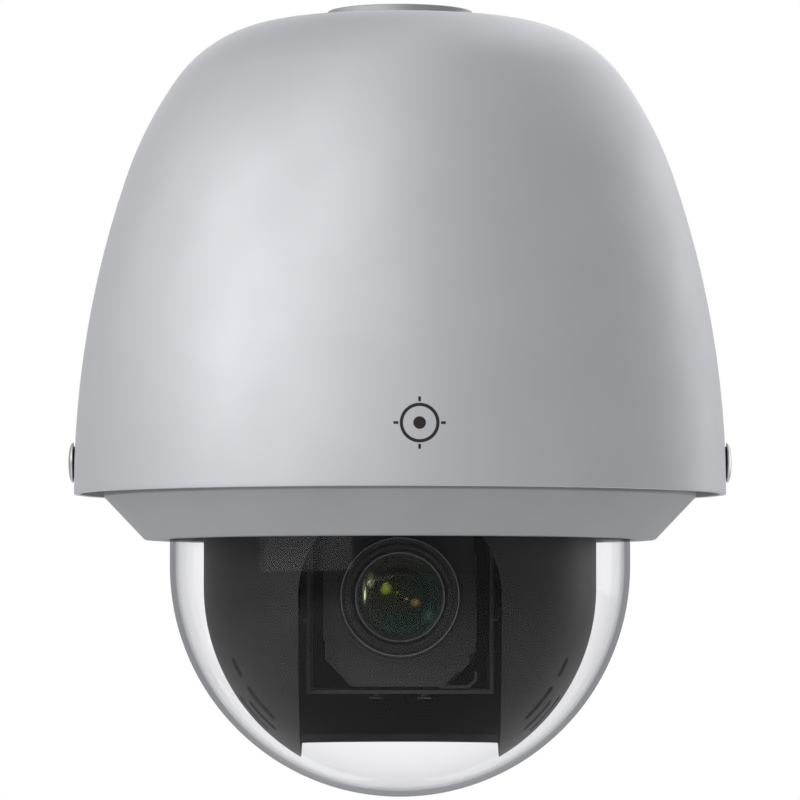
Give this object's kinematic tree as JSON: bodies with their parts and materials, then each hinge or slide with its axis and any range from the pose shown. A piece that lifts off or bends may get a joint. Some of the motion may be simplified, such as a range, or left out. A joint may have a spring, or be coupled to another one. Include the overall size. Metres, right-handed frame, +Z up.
{
  "type": "ptz camera",
  "caption": "Outdoor pan-tilt-zoom dome camera: a bell-shaped sun shield with a top pipe collar over a clear bubble that holds a slotted shroud and a tilting zoom camera.",
  "frame": {"origin": "centre of the top face of the pipe collar", "axes": "+Z up along the pan axis, the lens looks along -Y at rest, +X to the right seen from the front"},
  "size_m": [0.2548, 0.2504, 0.3022],
  "materials": {
    "shell_paint": "satin, pale lavender grey, lightly textured moulding",
    "collar_metal": "satin grey die-cast metal with a turned top edge",
    "ring_paint": "satin mid-grey paint over die-cast metal",
    "cast_aluminium": "fine cast surface, bead blasted",
    "screw_steel": "plain stainless, turned heads",
    "steel": "ground steel",
    "brass": "machined, dull",
    "rubber": "matt black seal rubber",
    "black_plastic": "satin black moulding",
    "charcoal_plastic": "matt charcoal moulding",
    "lens_black": "black anodised look with fine turned rings",
    "lens_ring": "dark anodised, bright at its inner chamfer",
    "gear_nylon": "natural nylon",
    "circuit_board": "green solder mask",
    "clear_dome": "clear polished polycarbonate",
    "lens_glass": "coated optical glass with green and amber reflections"
  },
  "bodies": {
    "root": {"sun_shield": "shell_paint", "mount_collar": "collar_metal", "dome_ring": "ring_paint", "housing_shell": "cast_aluminium", "dome_clamp_ring": "cast_aluminium", "chassis_plate": "cast_aluminium", "heater_block": "cast_aluminium", "shield_screw_left": "screw_steel", "shield_screw_right": "screw_steel", "collar_screw_a": "screw_steel", "collar_screw_b": "screw_steel", "collar_screw_c": "screw_steel", "dome_ring_screw_a": "screw_steel", "dome_ring_screw_b": "screw_steel", "dome_ring_screw_c": "screw_steel", "pan_motor": "steel", "pan_bearing_inner": "steel", "network_jack": "steel", "collar_seal": "rubber", "housing_gasket": "rubber", "dome_gasket": "rubber", "shield_washer_left": "rubber", "shield_washer_right": "rubber", "fan_frame": "black_plastic", "slip_ring_stator": "black_plastic", "terminal_block": "gear_nylon", "main_board": "circuit_board", "power_board": "circuit_board", "dome_bubble": "clear_dome"},
    "pan": {"turntable": "cast_aluminium", "pan_gear": "gear_nylon", "pan_bearing_outer": "steel", "slip_ring_rotor": "charcoal_plastic", "yoke_arm_left": "cast_aluminium", "yoke_arm_right": "cast_aluminium", "tilt_bush_left": "brass", "tilt_bush_right": "brass", "tilt_motor": "steel", "tilt_motor_bracket": "cast_aluminium", "shroud": "black_plastic"},
    "pan_cage": {"pan_bearing_balls": "steel"},
    "pan_pinion": {"pan_pinion": "brass"},
    "tilt": {"tilt_cradle": "charcoal_plastic", "tilt_shaft_left": "steel", "tilt_shaft_right": "steel", "tilt_gear": "gear_nylon", "camera_block": "black_plastic", "camera_front_plate": "charcoal_plastic", "lens_barrel": "lens_black", "lens_retaining_ring": "lens_ring", "front_lens": "lens_glass", "rear_lens": "lens_glass", "sensor_board": "circuit_board"},
    "tilt_pinion": {"tilt_pinion": "brass"},
    "zoom_group": {"zoom_lens_group": "lens_glass"},
    "focus_group": {"focus_lens_group": "lens_glass"},
    "iris_upper": {"iris_blade_upper": "black_plastic"},
    "iris_lower": {"iris_blade_lower": "black_plastic"},
    "ir_filter": {"ir_cut_filter": "lens_glass"},
    "fan": {"fan_rotor": "charcoal_plastic"}
  },
  "joints": [
    {"name": "pan_turn", "type": "hinge", "parent": "root", "child": "pan", "pos_m": [0, 0, -0.158], "axis": [0, 0, 1], "continuous": true},
    {"name": "bearing_cage_turn", "type": "hinge", "parent": "root", "child": "pan_cage", "pos_m": [0, 0, -0.158], "axis": [0, 0, 1], "continuous": true},
    {"name": "pan_pinion_spin", "type": "hinge", "parent": "root", "child": "pan_pinion", "pos_m": [0.075, 0, -0.162], "axis": [0, 0, 1], "continuous": true},
    {"name": "tilt_turn", "type": "hinge", "parent": "pan", "child": "tilt", "pos_m": [0, 0, -0.226], "axis": [1, 0, 0], "range_deg": [-5, 90]},
    {"name": "tilt_pinion_spin", "type": "hinge", "parent": "pan", "child": "tilt_pinion", "pos_m": [0.05, 0, -0.1945], "axis": [1, 0, 0], "range_deg": [-290, 18]},
    {"name": "zoom_travel", "type": "slide", "parent": "tilt", "child": "zoom_group", "axis": [0, 1, 0], "range_m": [0, 0.012]},
    {"name": "focus_travel", "type": "slide", "parent": "tilt", "child": "focus_group", "axis": [0, 1, 0], "range_m": [0, 0.005]},
    {"name": "iris_open_upper", "type": "slide", "parent": "tilt", "child": "iris_upper", "axis": [0, 0, 1], "range_m": [0, 0.004]},
    {"name": "iris_open_lower", "type": "slide", "parent": "tilt", "child": "iris_lower", "axis": [0, 0, 1], "range_m": [-0.004, 0]},
    {"name": "ir_filter_swap", "type": "slide", "parent": "tilt", "child": "ir_filter", "axis": [1, 0, 0], "range_m": [0, 0.012]},
    {"name": "fan_spin", "type": "hinge", "parent": "root", "child": "fan", "pos_m": [-0.062, 0, -0.141], "axis": [0, 0, 1], "continuous": true}
  ],
  "couplings": [
    {"joint": "bearing_cage_turn", "follows": "pan_turn", "ratio": 0.5},
    {"joint": "pan_pinion_spin", "follows": "pan_turn", "ratio": -4},
    {"joint": "tilt_pinion_spin", "follows": "tilt_turn", "ratio": -3.2},
    {"joint": "iris_open_lower", "follows": "iris_open_upper", "ratio": -1}
  ]
}
